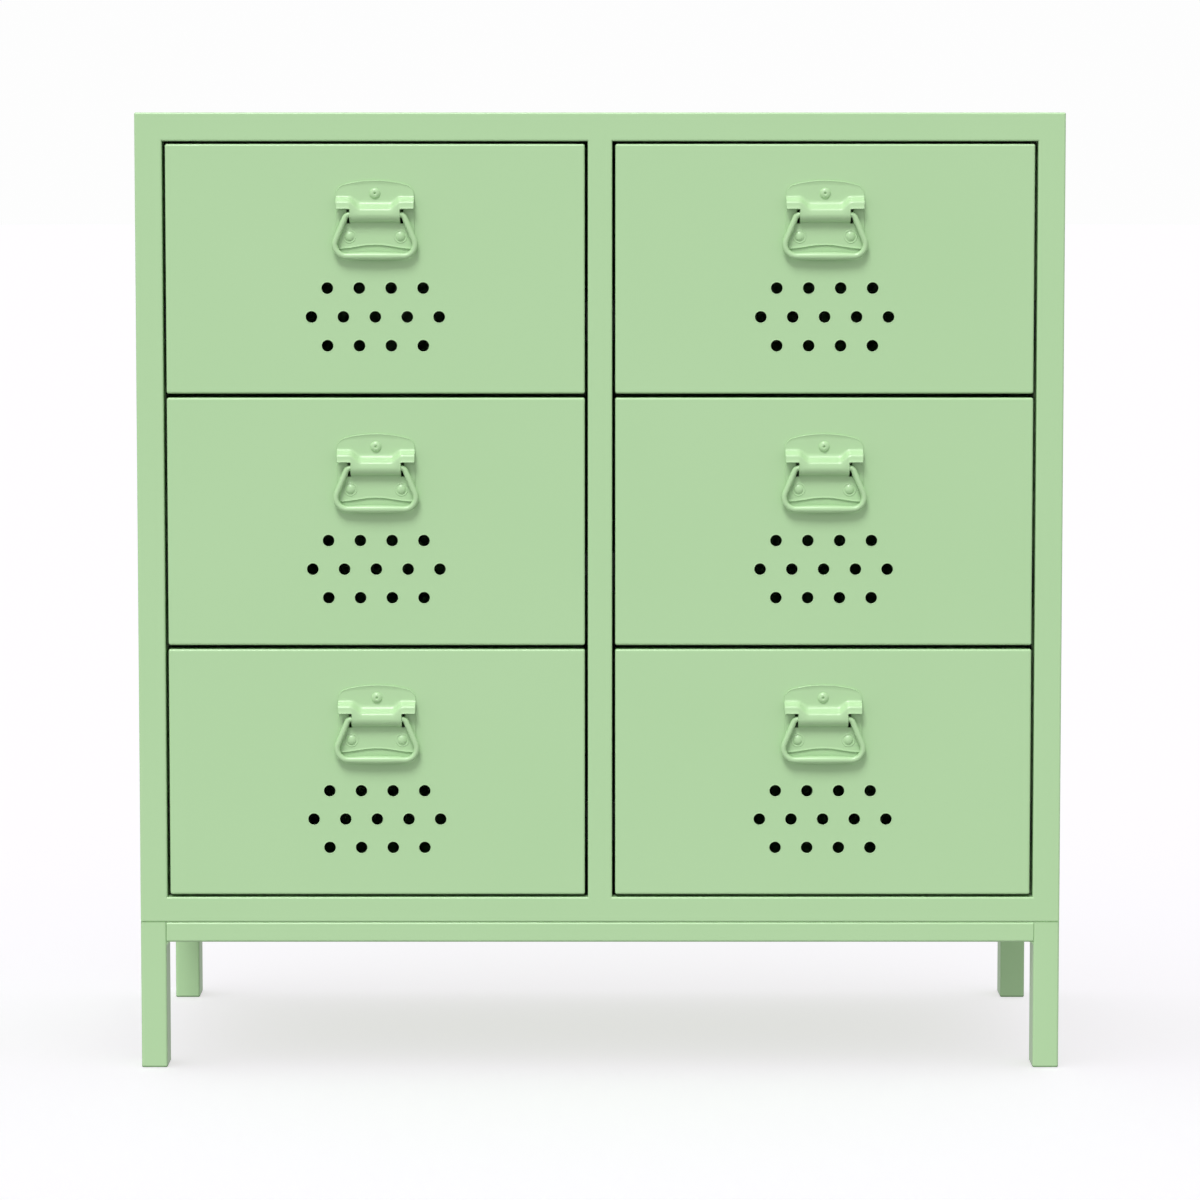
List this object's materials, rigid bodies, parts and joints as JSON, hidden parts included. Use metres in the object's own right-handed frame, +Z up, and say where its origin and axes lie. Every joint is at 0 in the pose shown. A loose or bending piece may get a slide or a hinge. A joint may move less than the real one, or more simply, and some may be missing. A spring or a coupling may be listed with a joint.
{
  "type": "drawer locker",
  "caption": "Green powder-coated steel drawer locker on tube legs, with perforated flush drawer fronts, riveted drop handles and ball-bearing slides",
  "frame": {"origin": "middle of the overall box on the floor", "axes": "+Z up, +X to the viewer's right when facing the drawers, +Y from the drawer fronts to the back"},
  "size_m": [0.8, 0.4113, 0.83],
  "materials": {
    "green_powder_coat": "satin powder coat, mint green",
    "black_slide": "black electro-coat",
    "zinc_cage": "bright zinc plate",
    "zinc_fastener": "zinc plate",
    "glide_plastic": "moulded plastic, green"
  },
  "bodies": {
    "cabinet": {"left_side_panel": "green_powder_coat", "right_side_panel": "green_powder_coat", "top_panel": "green_powder_coat", "bottom_panel": "green_powder_coat", "back_panel": "green_powder_coat", "centre_partition": "green_powder_coat", "slide_uprights": "green_powder_coat", "front_apron": "green_powder_coat", "rear_apron": "green_powder_coat", "side_aprons": "green_powder_coat", "leg_front_left": "green_powder_coat", "leg_front_right": "green_powder_coat", "leg_rear_left": "green_powder_coat", "leg_rear_right": "green_powder_coat", "foot_glides": "glide_plastic", "base_bolts": "zinc_fastener", "back_screws": "zinc_fastener", "outer_slides": "black_slide"},
    "drawer_top_left": {"drawer_front_top_left": "green_powder_coat", "drawer_box_top_left": "green_powder_coat", "handle_plate_top_left": "green_powder_coat", "handle_rivets_top_left": "green_powder_coat", "inner_slides_top_left": "black_slide"},
    "bail_top_left": {"handle_bail_top_left": "green_powder_coat"},
    "cage_top_left": {"ball_cages_top_left": "zinc_cage"},
    "drawer_top_right": {"drawer_front_top_right": "green_powder_coat", "drawer_box_top_right": "green_powder_coat", "handle_plate_top_right": "green_powder_coat", "handle_rivets_top_right": "green_powder_coat", "inner_slides_top_right": "black_slide"},
    "bail_top_right": {"handle_bail_top_right": "green_powder_coat"},
    "cage_top_right": {"ball_cages_top_right": "zinc_cage"},
    "drawer_middle_left": {"drawer_front_middle_left": "green_powder_coat", "drawer_box_middle_left": "green_powder_coat", "handle_plate_middle_left": "green_powder_coat", "handle_rivets_middle_left": "green_powder_coat", "inner_slides_middle_left": "black_slide"},
    "bail_middle_left": {"handle_bail_middle_left": "green_powder_coat"},
    "cage_middle_left": {"ball_cages_middle_left": "zinc_cage"},
    "drawer_middle_right": {"drawer_front_middle_right": "green_powder_coat", "drawer_box_middle_right": "green_powder_coat", "handle_plate_middle_right": "green_powder_coat", "handle_rivets_middle_right": "green_powder_coat", "inner_slides_middle_right": "black_slide"},
    "bail_middle_right": {"handle_bail_middle_right": "green_powder_coat"},
    "cage_middle_right": {"ball_cages_middle_right": "zinc_cage"},
    "drawer_bottom_left": {"drawer_front_bottom_left": "green_powder_coat", "drawer_box_bottom_left": "green_powder_coat", "handle_plate_bottom_left": "green_powder_coat", "handle_rivets_bottom_left": "green_powder_coat", "inner_slides_bottom_left": "black_slide"},
    "bail_bottom_left": {"handle_bail_bottom_left": "green_powder_coat"},
    "cage_bottom_left": {"ball_cages_bottom_left": "zinc_cage"},
    "drawer_bottom_right": {"drawer_front_bottom_right": "green_powder_coat", "drawer_box_bottom_right": "green_powder_coat", "handle_plate_bottom_right": "green_powder_coat", "handle_rivets_bottom_right": "green_powder_coat", "inner_slides_bottom_right": "black_slide"},
    "bail_bottom_right": {"handle_bail_bottom_right": "green_powder_coat"},
    "cage_bottom_right": {"ball_cages_bottom_right": "zinc_cage"}
  },
  "joints": [
    {"name": "drawer_slide_top_left", "type": "slide", "parent": "cabinet", "child": "drawer_top_left", "axis": [0, -1, 0], "range_m": [0, 0.25]},
    {"name": "cage_slide_top_left", "type": "slide", "parent": "cabinet", "child": "cage_top_left", "axis": [0, -1, 0], "range_m": [0, 0.125]},
    {"name": "bail_hinge_top_left", "type": "hinge", "parent": "drawer_top_left", "child": "bail_top_left", "pos_m": [-0.1935, -0.2015, 0.7426], "axis": [-1, 0, 0], "range_deg": [0, 110]},
    {"name": "drawer_slide_top_right", "type": "slide", "parent": "cabinet", "child": "drawer_top_right", "axis": [0, -1, 0], "range_m": [0, 0.25]},
    {"name": "cage_slide_top_right", "type": "slide", "parent": "cabinet", "child": "cage_top_right", "axis": [0, -1, 0], "range_m": [0, 0.125]},
    {"name": "bail_hinge_top_right", "type": "hinge", "parent": "drawer_top_right", "child": "bail_top_right", "pos_m": [0.1935, -0.2015, 0.7426], "axis": [-1, 0, 0], "range_deg": [0, 110]},
    {"name": "drawer_slide_middle_left", "type": "slide", "parent": "cabinet", "child": "drawer_middle_left", "axis": [0, -1, 0], "range_m": [0, 0.25]},
    {"name": "cage_slide_middle_left", "type": "slide", "parent": "cabinet", "child": "cage_middle_left", "axis": [0, -1, 0], "range_m": [0, 0.125]},
    {"name": "bail_hinge_middle_left", "type": "hinge", "parent": "drawer_middle_left", "child": "bail_middle_left", "pos_m": [-0.1935, -0.2015, 0.52455], "axis": [-1, 0, 0], "range_deg": [0, 110]},
    {"name": "drawer_slide_middle_right", "type": "slide", "parent": "cabinet", "child": "drawer_middle_right", "axis": [0, -1, 0], "range_m": [0, 0.25]},
    {"name": "cage_slide_middle_right", "type": "slide", "parent": "cabinet", "child": "cage_middle_right", "axis": [0, -1, 0], "range_m": [0, 0.125]},
    {"name": "bail_hinge_middle_right", "type": "hinge", "parent": "drawer_middle_right", "child": "bail_middle_right", "pos_m": [0.1935, -0.2015, 0.52455], "axis": [-1, 0, 0], "range_deg": [0, 110]},
    {"name": "drawer_slide_bottom_left", "type": "slide", "parent": "cabinet", "child": "drawer_bottom_left", "axis": [0, -1, 0], "range_m": [0, 0.25]},
    {"name": "cage_slide_bottom_left", "type": "slide", "parent": "cabinet", "child": "cage_bottom_left", "axis": [0, -1, 0], "range_m": [0, 0.125]},
    {"name": "bail_hinge_bottom_left", "type": "hinge", "parent": "drawer_bottom_left", "child": "bail_bottom_left", "pos_m": [-0.1935, -0.2015, 0.3065], "axis": [-1, 0, 0], "range_deg": [0, 110]},
    {"name": "drawer_slide_bottom_right", "type": "slide", "parent": "cabinet", "child": "drawer_bottom_right", "axis": [0, -1, 0], "range_m": [0, 0.25]},
    {"name": "cage_slide_bottom_right", "type": "slide", "parent": "cabinet", "child": "cage_bottom_right", "axis": [0, -1, 0], "range_m": [0, 0.125]},
    {"name": "bail_hinge_bottom_right", "type": "hinge", "parent": "drawer_bottom_right", "child": "bail_bottom_right", "pos_m": [0.1935, -0.2015, 0.3065], "axis": [-1, 0, 0], "range_deg": [0, 110]}
  ],
  "couplings": [
    {"joint": "cage_slide_top_left", "follows": "drawer_slide_top_left", "ratio": 0.5},
    {"joint": "cage_slide_top_right", "follows": "drawer_slide_top_right", "ratio": 0.5},
    {"joint": "cage_slide_middle_left", "follows": "drawer_slide_middle_left", "ratio": 0.5},
    {"joint": "cage_slide_middle_right", "follows": "drawer_slide_middle_right", "ratio": 0.5},
    {"joint": "cage_slide_bottom_left", "follows": "drawer_slide_bottom_left", "ratio": 0.5},
    {"joint": "cage_slide_bottom_right", "follows": "drawer_slide_bottom_right", "ratio": 0.5}
  ]
}
